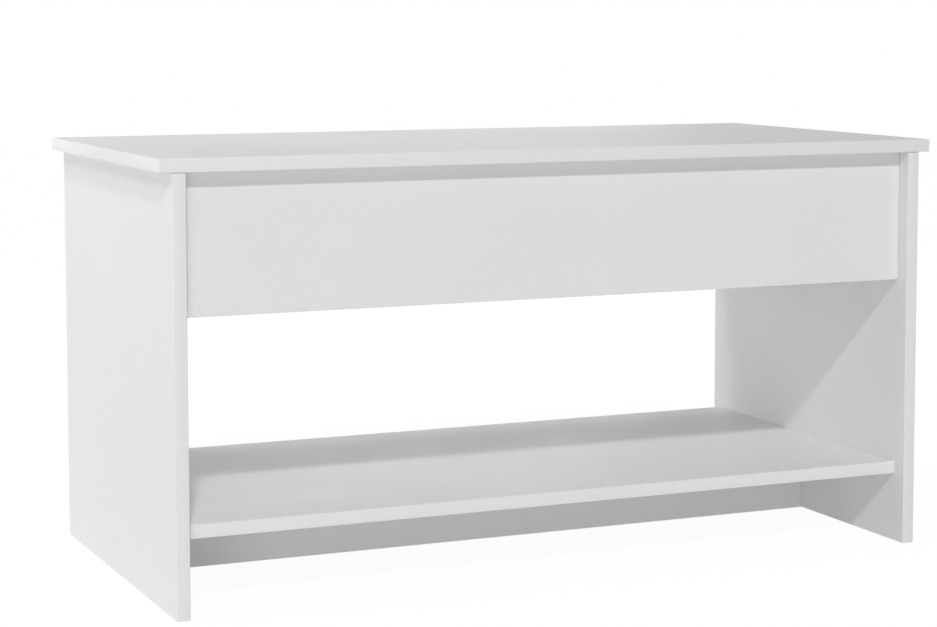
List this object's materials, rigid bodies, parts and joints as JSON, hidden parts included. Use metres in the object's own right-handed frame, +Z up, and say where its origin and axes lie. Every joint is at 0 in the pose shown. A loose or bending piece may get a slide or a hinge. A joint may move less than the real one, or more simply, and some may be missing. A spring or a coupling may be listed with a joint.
{
  "type": "lift top coffee table",
  "caption": "Low rectangular coffee table with panel ends, an open shelf, and a top that swings up and back on sprung parallel arms over a storage well.",
  "frame": {"origin": "on the floor, under the middle of the closed table", "axes": "+X along the table's length to the right, +Y from the front apron towards the side where a person sits at the raised top, +Z up"},
  "size_m": [1.02, 0.5, 0.525],
  "materials": {
    "white_melamine": "matt white melamine facing on particle board, with white edge banding",
    "zinc_steel": "satin zinc-plated pressed steel",
    "spring_steel": "bright drawn spring wire",
    "die_cast_zinc": "dull die-cast zinc"
  },
  "bodies": {
    "carcass": {"side_panel_left": "white_melamine", "side_panel_right": "white_melamine", "front_apron": "white_melamine", "back_apron": "white_melamine", "storage_floor": "white_melamine", "lower_shelf": "white_melamine", "kick_board": "white_melamine", "base_bracket_left": "zinc_steel", "base_bracket_right": "zinc_steel", "base_pin_front_left": "zinc_steel", "base_pin_front_right": "zinc_steel", "base_pin_rear_left": "zinc_steel", "base_pin_rear_right": "zinc_steel", "raise_stop_left": "zinc_steel", "raise_stop_right": "zinc_steel", "spring_anchor_left": "zinc_steel", "spring_anchor_right": "zinc_steel", "base_screw_left_1": "zinc_steel", "base_screw_left_2": "zinc_steel", "base_screw_right_1": "zinc_steel", "base_screw_right_2": "zinc_steel", "front_apron_cam_left": "die_cast_zinc", "front_apron_cam_right": "die_cast_zinc", "back_apron_cam_left": "die_cast_zinc", "back_apron_cam_right": "die_cast_zinc", "storage_floor_cam_left_front": "die_cast_zinc", "storage_floor_cam_left_back": "die_cast_zinc", "storage_floor_cam_right_front": "die_cast_zinc", "storage_floor_cam_right_back": "die_cast_zinc", "lower_shelf_cam_left_front": "die_cast_zinc", "lower_shelf_cam_left_back": "die_cast_zinc", "lower_shelf_cam_right_front": "die_cast_zinc", "lower_shelf_cam_right_back": "die_cast_zinc", "kick_board_cam_left": "die_cast_zinc", "kick_board_cam_right": "die_cast_zinc"},
    "front_arms": {"front_arm_left": "zinc_steel", "front_arm_right": "zinc_steel", "spring_stud_left": "zinc_steel", "spring_stud_right": "zinc_steel"},
    "rear_arms": {"rear_arm_left": "zinc_steel", "rear_arm_right": "zinc_steel"},
    "lifting_top": {"top_panel": "white_melamine", "top_bracket_left": "zinc_steel", "top_bracket_right": "zinc_steel", "top_rivet_front_left": "zinc_steel", "top_rivet_front_right": "zinc_steel", "top_rivet_rear_left": "zinc_steel", "top_rivet_rear_right": "zinc_steel", "top_screw_left_1": "zinc_steel", "top_screw_left_2": "zinc_steel", "top_screw_left_3": "zinc_steel", "top_screw_right_1": "zinc_steel", "top_screw_right_2": "zinc_steel", "top_screw_right_3": "zinc_steel"},
    "springs": {"spring_left": "spring_steel", "spring_right": "spring_steel"}
  },
  "joints": [
    {"name": "lift", "type": "hinge", "parent": "carcass", "child": "front_arms", "pos_m": [0, 0.052, 0.417], "axis": [-1, 0, 0], "range_deg": [0, 100], "deforming": ["spring_left", "spring_right"]},
    {"name": "top_level", "type": "hinge", "parent": "front_arms", "child": "lifting_top", "pos_m": [0, -0.16232, 0.48871], "axis": [-1, 0, 0], "range_deg": [-100, 0]},
    {"name": "rear_arm_swing", "type": "hinge", "parent": "carcass", "child": "rear_arms", "pos_m": [0, 0.122, 0.417], "axis": [-1, 0, 0], "range_deg": [0, 100]},
    {"name": "spring_swing", "type": "hinge", "parent": "carcass", "child": "springs", "pos_m": [0, 0.142, 0.378], "axis": [-1, 0, 0], "range_deg": [0, 69]}
  ],
  "couplings": [
    {"joint": "top_level", "follows": "lift", "ratio": -1},
    {"joint": "rear_arm_swing", "follows": "lift", "ratio": 1},
    {"joint": "spring_swing", "follows": "lift", "ratio": 0.68603}
  ]
}
